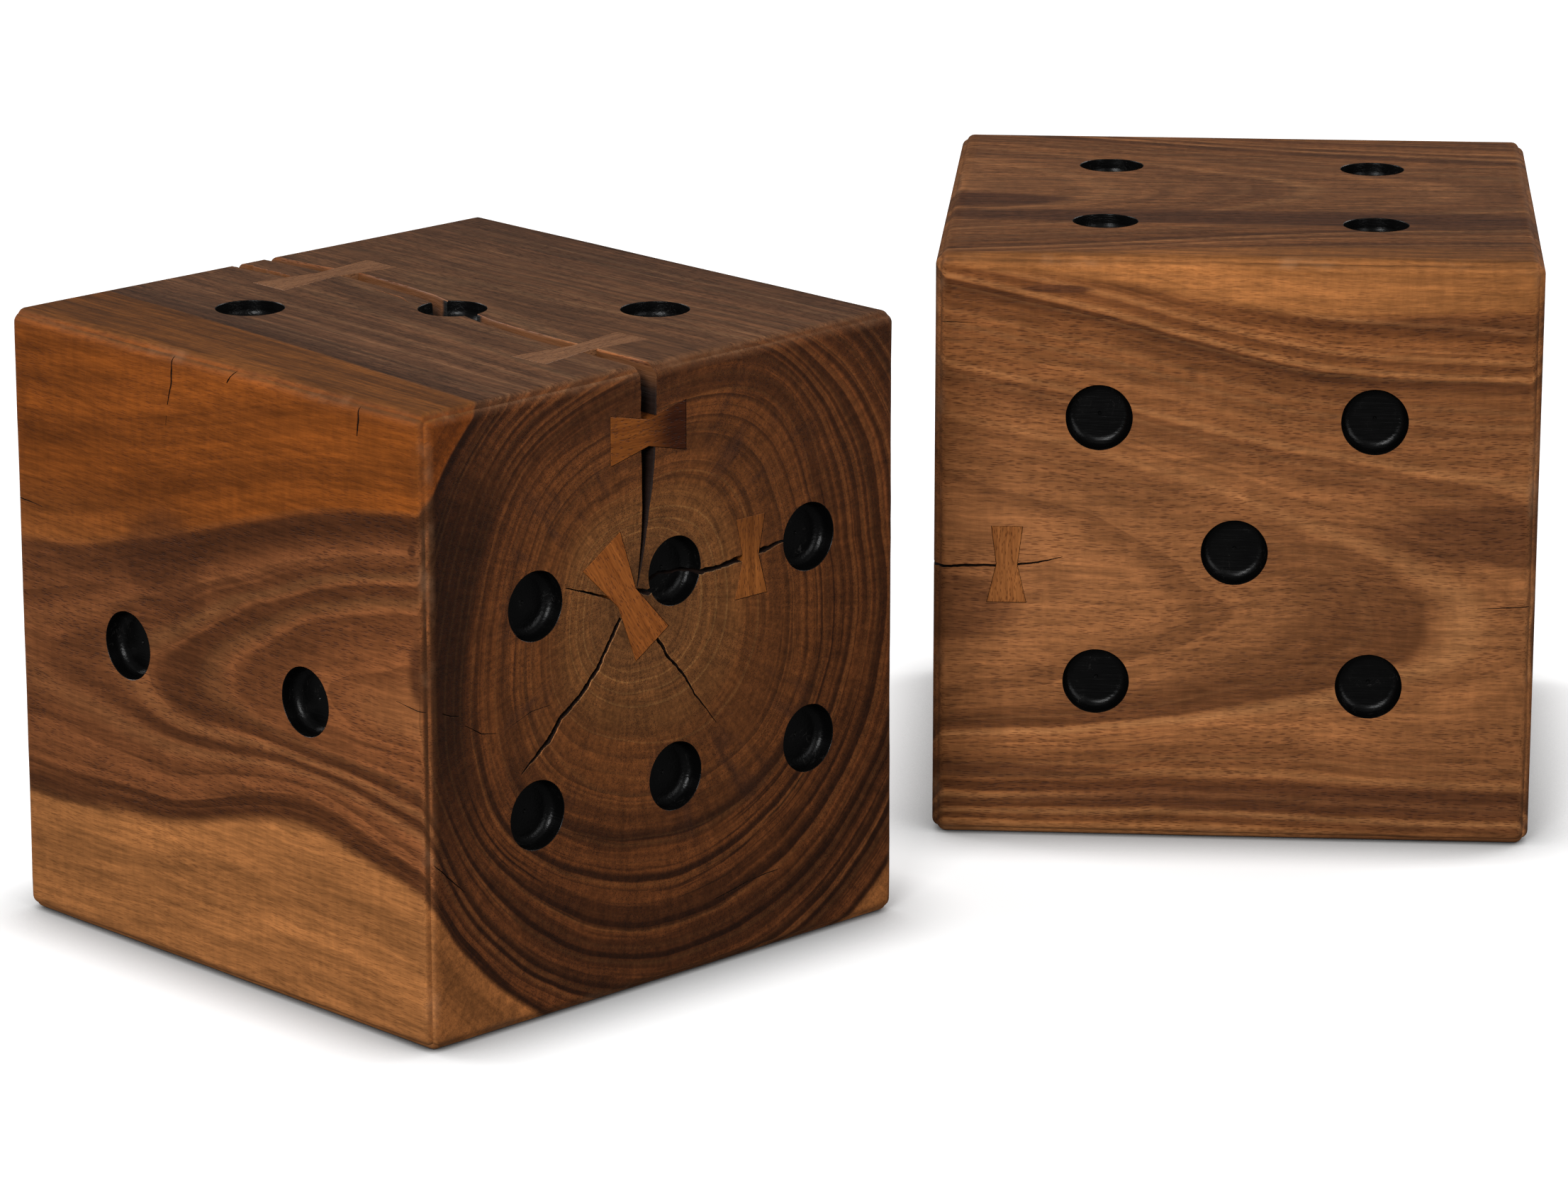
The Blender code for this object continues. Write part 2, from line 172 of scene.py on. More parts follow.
# The long crack: place along Y and X in edge lengths, width at the top and depth in millimetres
LONG_CRACK = [
    (-0.515, -0.043, 12.4, 146), (-0.45, -0.04, 12.6, 120), (-0.34, -0.036, 13.0, 72),
    (-0.245, -0.034, 12.4, 48), (-0.16, -0.027, 9.6, 40), (-0.1, -0.019, 9.0, 36),
    (0.0, 0.004, 10.2, 36), (0.09, 0.028, 11.0, 38), (0.18, 0.038, 12.4, 44),
    (0.28, 0.044, 13.2, 56), (0.38, 0.036, 9.8, 84), (0.515, 0.024, 9.4, 132),
]
LONG_CRACK_SECTION = [(0.0, 1.0), (0.35, 0.92), (0.54, 0.67), (0.65, 0.4), (0.85, 0.22), (1.0, 0.06)]
LONG_CRACK_LEAN = -0.028

# How far hands and tools stray, in metres
HOLLOW = 0.00008  # of a sanded side
RUB, NICK = 0.0034, 0.0016  # of a sanded edge, broad and fine
MORTISE_STRAY = 0.0001
KEY_STRAY = 0.00006
KEY_EASING = 0.00022
WALL_STRAY, TEAR = 0.0011, 0.0006
MOUTH = 0.0013  # worn at the ends of the long crack

# Fineness of the meshes
ARC_STEPS = 6  # across half of a rounded edge
FLAT_STEPS = 30
PIP_SIDES = 80
FLOOR_STEPS = 8
CRACK_STEP = 0.0013
LONG_CRACK_STEP = 0.003
LONG_CRACK_LEVELS = 30

# Material slots of a block
WOOD, RAW, PAINT = 0, 1, 2

# Studio: the camera's place is stated from the frame's origin
CAMERA_PLACE = (-0.0191, -4.1446, 1.3412)
CAMERA_DIP = radians(15.661)
CAMERA_LENS = 146.47
WHITE = (1.0, 1.0, 1.0, 1.0)
FLOOR_GREY = (0.62, 0.62, 0.62, 1.0)
FLOOR_HEIGHT = -0.0002
FLOOR_REACH = 12.0
FLOOR_GLOW = 0.68
# Reach and falloff of the floor's painted contact shadow
PAINTED_SHADOW_REACH = 0.065
PAINTED_SHADOW_POWER = 1.6
WORLD_LIGHT = 0.14
OVERHEAD_LIGHT = 0.3
OVERHEAD_SPREAD = radians(75)
OVERHEAD_TURN = (radians(-8), radians(-6), 0)
LIGHT_TARGET = Vector((0.0, 0.0, 0.2))
# Softboxes: name, place, side in metres, watts
SOFTBOXES = [
    ("key_light", (-1.3, -4.3, 2.3), 1.5, 145),
    ("fill_light", (3.2, -3.0, 1.6), 2.0, 42),
    ("rear_left_light", (-3.6, 1.6, 2.4), 2.0, 90),
    ("rear_right_light", (3.4, 2.2, 2.4), 2.0, 90),
]


# ---------------- stage, camera and light

def add_object(name, data, place=(0, 0, 0), rotation=(0, 0, 0)):
    thing = bpy.data.objects.new(name, data)
    thing.location = place
    thing.rotation_euler = rotation
    bpy.context.scene.collection.objects.link(thing)
    return thing


def make_stage():
    """A pale floor that glows like a lit table, with a painted contact shadow: its glow and grey are dimmed
    near the dice. It isn't mirrored in the dice.
    """
    bm = bmesh.new()
    bmesh.ops.create_grid(bm, x_segments=8, y_segments=8, size=FLOOR_REACH)
    mesh = bpy.data.meshes.new("floor")
    bm.to_mesh(mesh)
    bm.free()
    floor = add_object("floor", mesh, (0, 0, FLOOR_HEIGHT))
    floor.visible_diffuse = False
    floor.visible_glossy = False
    g = Graph("pale_floor")
    g.material.cycles.emission_sampling = "NONE"
    # Painted contact shadow: ambient occlusion dims the floor's grey and its glow near the dice
    painted_shadow_ao = g.node("AmbientOcclusion", samples=6)
    painted_shadow_ao.inputs["Distance"].default_value = PAINTED_SHADOW_REACH
    painted_shadow_ao.inputs["Color"].default_value = FLOOR_GREY
    painted_shadow_glow = g.math("POWER", painted_shadow_ao.outputs["AO"], PAINTED_SHADOW_POWER)
    inputs = g.shader.inputs
    inputs["Roughness"].default_value = 0.9
    inputs["Specular IOR Level"].default_value = 0.0
    inputs["Emission Color"].default_value = WHITE
    g.feed(inputs["Base Color"], painted_shadow_ao.outputs["Color"])
    g.feed(inputs["Emission Strength"], painted_shadow_glow * FLOOR_GLOW)
    mesh.materials.append(g.material)


def light_scene():
    """A dim white room, a broad light from above and four softboxes, the strongest at the front left."""
    world = bpy.data.worlds.new("studio")
    world.use_nodes = True
    back = world.node_tree.nodes["Background"]
    back.inputs["Color"].default_value = WHITE
    back.inputs["Strength"].default_value = WORLD_LIGHT
    bpy.context.scene.world = world
    overhead = bpy.data.lights.new("overhead_light", "SUN")
    overhead.energy = OVERHEAD_LIGHT
    overhead.angle = OVERHEAD_SPREAD
    add_object("overhead_light", overhead, rotation=OVERHEAD_TURN)
    for name, place, side, watts in SOFTBOXES:
        box = bpy.data.lights.new(name, "AREA")
        box.shape = "RECTANGLE"
        box.size = box.size_y = side
        box.energy = watts
        aim = (LIGHT_TARGET - Vector(place)).to_track_quat("-Z", "Y")
        add_object(name, box, place, aim.to_euler())


def add_camera():
    """Sees the dice from the front, a little above."""
    data = bpy.data.cameras.new("camera")
    data.sensor_width = 36.0
    data.lens = CAMERA_LENS
    data.clip_end = 60.0
    bpy.context.scene.camera = add_object("camera", data, CAMERA_PLACE, (pi / 2 - CAMERA_DIP, 0, 0))


# ---------------- shader graphs

class Term:
    """A node's output, on which plain arithmetic makes more nodes."""

    def __init__(self, graph, socket):
        self.graph, self.socket = graph, socket

    def __add__(self, other):
        return self.graph.math("ADD", self, other)

    def __radd__(self, number):
        return self.graph.math("ADD", number, self)

    def __sub__(self, number):
        return self + -number

    def __mul__(self, other):
        return self.graph.math("MULTIPLY", self, other)

    def __truediv__(self, other):
        return self.graph.math("DIVIDE", self, other)


class Graph:
    """Short calls for wiring a material's nodes. A value is a number, a tuple, a term or a socket."""

    def __init__(self, name):
        self.material = bpy.data.materials.new(name)
        self.material.use_nodes = True
        self.tree = self.material.node_tree
        self.shader = self.tree.nodes["Principled BSDF"]

    def node(self, kind, **settings):
        node = self.tree.nodes.new("ShaderNode" + kind)
        for name, value in settings.items():
            setattr(node, name, value)
        return node

    def feed(self, socket, value):
        if isinstance(value, Term):
            value = value.socket
        if isinstance(value, bpy.types.NodeSocket):
            self.tree.links.new(value, socket)
        elif isinstance(value, (tuple, list)) and len(value) == 3 and socket.type == "RGBA":
            socket.default_value = (*value, 1.0)
        else:
            socket.default_value = value

    def made(self, kind, values, output=0, **settings):
        """An output of a new node whose inputs, in order or by name, have these values."""
        node = self.node(kind, **settings)
        for key, value in (values.items() if isinstance(values, dict) else enumerate(values)):
            self.feed(node.inputs[key], value)
        return Term(self, node.outputs[output])

    def math(self, operation, a, b=0.0, c=0.0):
        return self.made("Math", (a, b, c), operation=operation)

    def most(self, a, b):
        return self.math("MAXIMUM", a, b)

    def blend(self, low, high, share):
        """A number between low and high, for a share from 0 to 1."""
        return self.made("MapRange", (share, 0.0, 1.0, low, high))

    def step(self, value, low, high):
        """Rises smoothly from 0 at low to 1 at high; low may be the larger one."""
        ends = (0.0, 1.0)
        if low > high:
            low, high, ends = high, low, (1.0, 0.0)
        return self.made("MapRange", (value, low, high, *ends), interpolation_type="SMOOTHSTEP")

    def spread(self, value):
        """Noise stretched to use its whole range from 0 to 1."""
        return self.step(value, 0.27, 0.73)

    def bell(self, value, middle, reach):
        """1 at the middle, 0 beyond the reach."""
        return self.step(self.math("ABSOLUTE", value - middle), reach, 0.0)

    def join(self, x, y, z):
        return self.made("CombineXYZ", (x, y, z))

    def split(self, vector):
        node = self.node("SeparateXYZ")
        self.feed(node.inputs[0], vector)
        return [Term(self, part) for part in node.outputs]

    def noise(self, vector, scale, detail=2.0, rough=0.5, distortion=0.0):
        values = {"Vector": vector, "Scale": scale, "Detail": detail, "Roughness": rough,
                  "Distortion": distortion}
        return self.made("TexNoise", values, "Fac")

    def cells(self, vector, scale):
        """Distance from the nearest of many scattered points."""
        return self.made("TexVoronoi", {"Vector": vector, "Scale": scale}, "Distance")

    def ramp(self, value, stops):
        """A colour ramp; a stop is (position, colour), or (position, grey)."""
        stops = [(at, colour if isinstance(colour, tuple) else (colour,) * 3) for at, colour in stops]
        node = self.node("ValToRGB")
        elements = node.color_ramp.elements
        elements[0].position, elements[0].color = stops[0][0], (*stops[0][1], 1.0)
        elements[1].position, elements[1].color = stops[-1][0], (*stops[-1][1], 1.0)
        for position, colour in stops[1:-1]:
            elements.new(position).color = (*colour, 1.0)
        self.feed(node.inputs[0], value)
        return Term(self, node.outputs[0])

    def mix(self, share, a, b, blend="MIX"):
        return self.made("Mix", {0: share, 6: a, 7: b}, 2, data_type="RGBA", blend_type=blend)

    def tinted(self, colour, tint):
        return self.mix(1.0, colour, tint, "MULTIPLY")

    def shade(self, colour, low, high, share):
        """The colour times a factor, which is low where the share is 0 and high where it is 1."""
        factor = self.blend(low, high, share)
        return self.tinted(colour, self.join(factor, factor, factor))

    def bump(self, height, reach, strength, under=None):
        values = {"Height": height, "Distance": reach, "Strength": strength}
        if under:
            values["Normal"] = under
        return self.made("Bump", values)

    def finish(self, colour, roughness, normal, specular):
        inputs = self.shader.inputs
        self.feed(inputs["Base Color"], colour)
        self.feed(inputs["Roughness"], roughness)
        self.feed(inputs["Normal"], normal)
        inputs["Specular IOR Level"].default_value = specular
        return self.material


# ---------------- wood

def log_space(g, axis, edge):
    """(along, u, v) of a point, in edge lengths, with along running up the tree."""
    point = g.node("TexCoord").outputs["Object"]
    x, y, z = g.split(g.made("VectorMath", {0: point, "Scale": 1 / edge}, operation="SCALE"))
    return (y, x, z) if axis == "Y" else (x, y, z)


def scaled_noise(g, parts, scales, detail=2.0, rough=0.5):
    """Noise over three values, each with its own scale."""
    scaled = [part if scale == 1.0 else part * scale for part, scale in zip(parts, scales)]
    return g.noise(g.join(*scaled), 1.0, detail, rough)


def grain(g, place, along_scale, across_scale, detail=2.0, rough=0.5):
    """Noise that is drawn out along the log."""
    return scaled_noise(g, place, (along_scale, across_scale, across_scale), detail, rough)


def swing(g, place, along_scale, across_scale, reach, detail=1.0, rough=0.5):
    """The same noise about zero, with about that reach either way."""
    fibres = grain(g, place, along_scale, across_scale, detail, rough)
    return g.math("MULTIPLY_ADD", fibres, 2.6 * reach, -1.3 * reach)


def pores(g, place, along_scale, across_scale, low, high):
    """1 in the middle of each pore, 0 between them."""
    along, u, v = place
    stretched = g.join(along * along_scale, u * across_scale, v * across_scale)
    return g.step(g.cells(stretched, 1.0), low, high)


def ring_distance(g, look, place):
    """How far out in the log a point lies, in edge lengths, and the direction from the heart."""
    along, u, v = place
    turned = (along, v, u)
    (heart_u, heart_v), (far_u, far_v) = look["heart"]
    share = along + 0.5
    qu = u + share * (heart_u - far_u) - heart_u
    qv = v + share * (heart_v - far_v) - heart_v
    radius = g.math("SQRT", qu * qu + qv * qv)
    lean_u, lean_v = look["lean"]
    out = radius + qu * -lean_u + qv * -lean_v
    toward_u, toward_v = qu / radius, qv / radius
    taper = g.blend(look["taper"], look["low_taper"], g.step(v, -0.22, -0.4))
    levelled = g.math("SMOOTH_MIN", along, 0.12, 0.2)
    out = out * g.math("MULTIPLY_ADD", g.blend(along, levelled, g.step(v, 0.02, 0.2)), taper, 1.0)
    diagonal = g.math("POWER", toward_u * toward_v, 2.0)
    squareness = g.step(radius, 0.52, 0.4) * (look["squareness"] * -4)
    out = out * g.math("MULTIPLY_ADD", diagonal, squareness, 1.0)
    sway = look["sway"]
    out = (out + swing(g, place, 1.1, 2.3, sway) + swing(g, turned, 3.0, 7.0, sway * 0.5)
           + swing(g, place, 11.0, 26.0, sway * 0.1, 2.0))
    above = g.most(qv, 0.0)
    upper_right = g.most(qu, 0.0) * above
    upper_left = g.math("MINIMUM", qu, 0.0) * above
    out = out + upper_right * -look["full_corner"] + upper_left * -look["bare_corner"]
    base, slope = look["tilt"]
    near_left = g.step(u, -0.28, -0.46)
    tilted = g.step(along, -0.5, 0.5) * near_left
    ripple = g.bell(along, -0.2, 0.34) * near_left * g.step(v, -0.02, -0.16)
    out = out + tilted * g.math("MULTIPLY_ADD", v, slope, base) + ripple * look["ripple"]
    return out, toward_u, toward_v


def edge_zone(g, edge, begins, ends):
    """0 on the flats, rising to 1 towards the block's edges; begins and ends are depths in metres."""
    place = g.split(g.node("TexCoord").outputs["Object"])
    a, b, c = (g.math("ABSOLUTE", part) for part in place)
    second = g.most(g.math("MINIMUM", a, b), g.math("MINIMUM", g.most(a, b), c))
    return g.step(second, edge / 2 - begins, edge / 2 - ends)


def growth_rings(g, out, around, count, rarity, start=0.3):
    """Fine rings, each fading in and ending sharply, and each of its own strength."""
    uneven = scaled_noise(g, (out, around, count), (13.0, 1.0, 1.0), 1.0)
    turns = out * count + uneven * (0.06 * count)
    part = g.math("FRACT", turns)
    own = g.made("TexWhiteNoise", {"W": g.math("FLOOR", turns)}, "Value", noise_dimensions="1D")
    return g.step(part, start, 0.9) * g.step(part, 1.0, 0.955) * g.math("POWER", own, rarity)


def ring_lines(g, out, place, look):
    """Chosen rings: dark up to a sharp outer edge, then a thin light line. Strengths for above and below.

    They fade towards the far end of the log, to the two shares in rear_rings.
    """
    along, _, v = place
    above = g.step(v, -0.16, 0.1)
    far = g.step(along, 0.05, 0.45)
    lasting_high, lasting_low = (g.blend(1.0, share, far) for share in look["rear_rings"])
    dark, light = 0.0, 0.0
    for middle, reach, high, low in look["chosen_rings"]:
        strength = g.blend(lasting_low * low, lasting_high * high, above)
        rise = g.step(out, middle - reach, middle - reach * 0.3)
        body = rise * g.step(out, middle + 0.0035, middle)
        dark = g.most(body * strength, dark)
        light = g.most(g.bell(out, middle + 0.006, 0.005) * strength, light)
    return dark, light


def inclusions(g, place, spots):
    """How much darker the wood is: each spot is an ellipsoid with an uneven edge and its own strength."""
    ragged = swing(g, place, 9.0, 30.0, 0.22, 3.0, 0.6)
    inside = 0.0
    for middle, reach, strength in spots:
        away = g.made("VectorMath", (g.join(*place), middle), operation="SUBTRACT")
        scaled = g.made("VectorMath", (away, reach), operation="DIVIDE")
        length = g.made("VectorMath", (scaled,), "Value", operation="LENGTH")
        here = g.step(length + ragged, 1.1, 0.68) * strength
        inside = g.most(here, inside)
    return inside


def block_wood(name, look, edge):
    """Lacquered solid wood right through the block, with rings, streaks, pores, worn edges partly painted as
    a highlight, and a painted sheen and shade on top.
    """
    g = Graph(name)
    place = log_space(g, look["axis"], edge)
    along, u, v = place
    from_near_end = along + 0.5
    out, toward_u, toward_v = ring_distance(g, look, place)
    zone = out / g.blend(*look["rim"], from_near_end)
    position = zone * 0.8
    patch = grain(g, place, 1.5, 3.4, 3.0, 0.55)
    normal_parts = g.split(g.node("TexCoord").outputs["Normal"])
    end_grain = g.step(g.math("ABSOLUTE", normal_parts[1 if look["axis"] == "Y" else 0]), 0.45, 0.85)
    upward = g.step(normal_parts[2], 0.5, 0.9)
    sapwood = g.step(zone, 0.99, 1.01)

    # Bands that follow the rings: broad stains, groups of thin threads, fine rings and a few chosen ones
    around = toward_u * 0.55 + along * 0.3
    broad = scaled_noise(g, (out, around, toward_v), (look["bands"], 1.0, 0.55), 4.0, 0.6)
    stain = g.step(broad + (patch - 0.5) * 0.34, *look["stain_range"])
    group = scaled_noise(g, (out, around, toward_v), (15.0, 1.2, 0.8))
    thread = scaled_noise(g, (out, around, toward_u), (look["threads"], 1.6, 1.0), 3.0, 0.55)
    thread = g.step(thread, 0.53, 0.66) * g.step(group, 0.38, 0.58)
    rings = growth_rings(g, out, around * 0.7, look["rings"], 1.2)
    hair_rings = growth_rings(g, out, around * 0.5, look["rings"] * 2.7, 1.6)
    fine = g.spread(scaled_noise(g, (out, around, toward_v), (150.0, 2.0, 1.0), 3.0, 0.6))
    chosen, beside = ring_lines(g, out, place, look)
    shaded = g.step(toward_u, -0.55, -0.95) * g.step(out, 0.375, 0.415) * end_grain

    share = stain * g.ramp(position, look["stain"])
    share = g.most(share, chosen * g.blend(0.68, 1.15, patch))
    share = g.most(share, shaded * look["dark_side"])
    strength = g.ramp(position, look["ring_strength"])
    for lines, part in ((rings, 1.0), (hair_rings, 0.6), (thread, look["thread_strength"])):
        share = g.most(share, lines * strength * part)
    shown = share * g.blend(1.0, look["top_contrast"], upward)
    colour = g.mix(shown, g.ramp(position, look["light"]), g.ramp(position, look["dark"]))
    pale_line = growth_rings(g, out, around * 1.1, look["rings"] * 1.9, 2.0, 0.55)
    pale_line *= g.ramp(position, look["pale_lines"])
    pale_line = g.most(pale_line, beside * look["beside"])
    colour = g.mix(pale_line, colour, look["pale"])
    spoke = scaled_noise(g, (toward_u, toward_v, out), (5.5, 5.5, 7.0), 3.0, 0.6)
    smudge = g.step(spoke, 0.53, 0.7) * g.bell(out, 0.27, 0.13) * end_grain
    colour = g.mix(smudge * 0.75, colour, SMUDGE)

    # Sapwood, redder above than below
    sap = g.mix(g.step(v, -0.15, 0.3), *look["sap"])
    sap_streak = scaled_noise(g, (out, along, around), (19.0, 0.8, 1.5), 4.0, 0.58)
    sap = g.shade(sap, 0.72, 1.22, g.spread(sap_streak))
    colour = g.mix(sapwood, colour, sap)
    colour = g.mix(inclusions(g, place, look["dark_spots"]), colour, look["spot"])

    # End grain drinks more lacquer and looks darker; the top gets a painted sheen and shade, a greyer, bluer
    # tint on the left die and a darker one on the right
    tint = g.mix(share, look["end_tint"], look["end_dark_tint"])
    tint = g.mix(sapwood, tint, look["sap_end_tint"])
    colour = g.mix(end_grain, colour, g.tinted(colour, tint))
    painted_top_sheen_shade = g.mix(sapwood, look["painted_top_sheen_shade"], look["sap_painted_top_sheen_shade"])
    colour = g.mix(upward, colour, g.tinted(colour, painted_top_sheen_shade))
    ray = scaled_noise(g, (toward_u, toward_v, out), (34.0, 34.0, 9.0), 3.0, 0.6)
    colour = g.shade(colour, 0.84, 1.16, g.blend(0.5, g.spread(ray), end_grain))
    colour = g.shade(colour, 0.88, 1.12, fine)
    colour = g.shade(colour, 0.78, 1.24, patch)
    colour = g.shade(colour, g.blend(*look["fade"], from_near_end), 1.0, end_grain)

    # Fibres, pores and curl, which wander a little across the block
    drift = look["drift"]
    turned = (along, v, u)
    flow_u = u + swing(g, place, 2.2, 1.6, drift) + swing(g, place, 30.0, 11.0, 0.0011)
    flow_v = v + swing(g, turned, 2.2, 1.6, drift) + swing(g, turned, 30.0, 11.0, 0.0011)
    flow = (along, flow_u, flow_v)
    fibre = g.spread(grain(g, flow, 11.0, 170.0, 4.0, 0.66))
    strand = g.spread(grain(g, flow, 2.6, 58.0, 3.0, 0.6))
    curl = g.spread(grain(g, flow, 64.0, 19.0, 3.0, 0.65))
    colour = g.shade(colour, 0.75, 1.26, fibre)
    colour = g.shade(colour, 0.86, 1.14, strand)
    top_streak = g.spread(grain(g, flow, 3.6, 135.0, 3.0, 0.65))
    colour = g.shade(colour, 1.0, g.blend(0.7, 1.3, top_streak), upward)
    colour = g.shade(colour, 0.9, 1.1, g.blend(curl, 0.5, end_grain))
    crowd = grain(g, place, 4.0, 10.0)
    pore = pores(g, flow, 48.0, 400.0, 0.44, 0.2) * g.step(crowd, 0.18, 0.6)
    pore *= g.blend(0.75, 0.38, sapwood)
    colour = g.mix(pore, colour, g.tinted(colour, (0.34, 0.26, 0.22)))

    # Wear and painted highlight: paler edges, partly worn and partly a painted sheen, with a few rubbed
    # spots, which shine less
    wear_and_sheen = edge_zone(g, edge, 0.01, 0.0035)
    sanded = edge_zone(g, edge, 0.014, 0.009)
    rubbed = grain(g, place, 9.0, 9.0, 4.0, 0.65)
    scuff = wear_and_sheen * g.step(rubbed, 0.52, 0.72)
    colour = g.mix(wear_and_sheen * 0.15, colour, look["worn"])
    colour = g.mix(scuff * 0.24, colour, look["scuffed"])

    roughness = (BASE_ROUGHNESS + fibre * 0.1 + pore * 0.22 + end_grain * 0.06 + sanded * 0.34
                 + scuff * 0.08 + patch * 0.06)
    relief = fibre * 0.4 + pore * -1.0 + fine * 0.3 + curl * 0.25
    wavy = grain(g, place, 4.0, 6.0, 1.0)
    normal = g.bump(relief, 0.0002, 0.8, g.bump(wavy, 0.0009, 0.25))
    return g.finish(colour, roughness, normal, 0.13)


def raw_wood(name, look, edge):
    """The torn fibres inside a crack: warm near the mouth of the long crack, almost black with painted shade
    elsewhere.

    Paint from the top's middle pip has run down the walls of the crack that crosses it.
    """
    g = Graph(name)
    place = log_space(g, look["axis"], edge)
    along, u, v = place
    below_top = g.math("SUBTRACT", 0.5, v)
    fibre = grain(g, place, 9.0, 190.0, 4.0, 0.65)
    stain = grain(g, place, 2.5, 14.0, 3.0)
    warm = g.mix(stain, *look["raw"])
    lit = g.step(below_top, 0.05, 0.01) * g.step(g.math("ABSOLUTE", u), 0.13, 0.09)
    # Painted shade: the walls are almost black except near the top of the long crack
    colour = g.mix(lit, CRACK_PAINTED_SHADE, warm)
    colour = g.shade(colour, 0.5, 1.45, fibre)
    from_middle = g.math("SQRT", along * along + u * u)
    painted = g.step(from_middle, (PIP_RADIUS + 0.008) / edge, (PIP_RADIUS + 0.003) / edge)
    painted *= g.step(below_top, 0.1, 0.05)
    colour = g.mix(painted, colour, BLACK_PAINT)
    normal = g.bump(fibre + stain * 0.6, 0.0008, 0.9)
    return g.finish(colour, g.blend(0.55, 0.85, fibre), normal, 0.25)


def pip_paint(name, axis, edge):
    """Satin black paint on routed wood, with a little dust and fine scratches."""
    g = Graph(name)
    place = log_space(g, axis, edge)
    along, u, v = place
    fibre = grain(g, place, 14.0, 240.0, 3.0, 0.6)
    blotch = g.noise(g.join(*place), 26.0, 3.0, 0.6)
    scratched = g.join(along * 60.0, u * 22.0, v * 31.0)
    scratch = g.bell(g.noise(scratched, 1.0, 3.0, 0.55, 1.2), 0.5, 0.01)
    scratch *= g.step(blotch, 0.52, 0.66)
    dust = g.step(g.cells(g.join(*place), 190.0), 0.13, 0.05) * g.step(blotch, 0.5, 0.7)
    colour = g.mix(blotch, (0.0014, 0.0014, 0.0015), (0.0034, 0.0033, 0.0033))
    colour = g.mix((scratch + dust) * 0.35, colour, (0.07, 0.066, 0.062))
    roughness = 0.17 + blotch * 0.14 + fibre * 0.1 + scratch * 0.2
    relief = fibre + blotch * 0.5 + dust * 0.8
    return g.finish(colour, roughness, g.bump(relief, 0.0004, 0.7), 0.15)


def key_wood(name, tone, seed, edge):
    """A key's own wood: wavy grain along it, a little different from key to key."""
    g = Graph(name)
    along, u, v = log_space(g, "X", edge)
    own = (along + seed * 1.37, u + seed * 0.61, v)
    bend = swing(g, own, 5.0, 9.0, 0.01)
    wave = (own[0], own[1] + bend + swing(g, own, 55.0, 25.0, 0.0014), v)
    lines = grain(g, wave, 4.0, 75.0, 4.0, 0.6)
    fibre = g.spread(grain(g, wave, 22.0, 300.0, 3.0, 0.6))
    light, dark, split, darker = tone
    colour = g.mix(g.step(lines, 0.3, 0.72), light, dark)
    half = g.step(along + bend, split - 0.03, split + 0.045)
    colour = g.mix(half * darker, colour, g.tinted(colour, (0.2, 0.14, 0.09)))
    colour = g.shade(colour, 0.78, 1.24, fibre)
    pore = pores(g, wave, 75.0, 380.0, 0.38, 0.16)
    colour = g.mix(pore * 0.7, colour, g.tinted(colour, (0.36, 0.28, 0.22)))
    roughness = 0.42 + fibre * 0.12 + pore * 0.2
    relief = fibre * 0.4 + pore * -1.0 + lines * 0.4
    return g.finish(colour, roughness, g.bump(relief, 0.00022, 0.8), 0.16)


# Colours and roughness that both dice share
SMUDGE = (0.12, 0.048, 0.026)
# Painted shade deep inside the cracks
CRACK_PAINTED_SHADE = (0.016, 0.007, 0.0045)
BLACK_PAINT = (0.003, 0.0029, 0.0029)
BASE_ROUGHNESS = 0.38

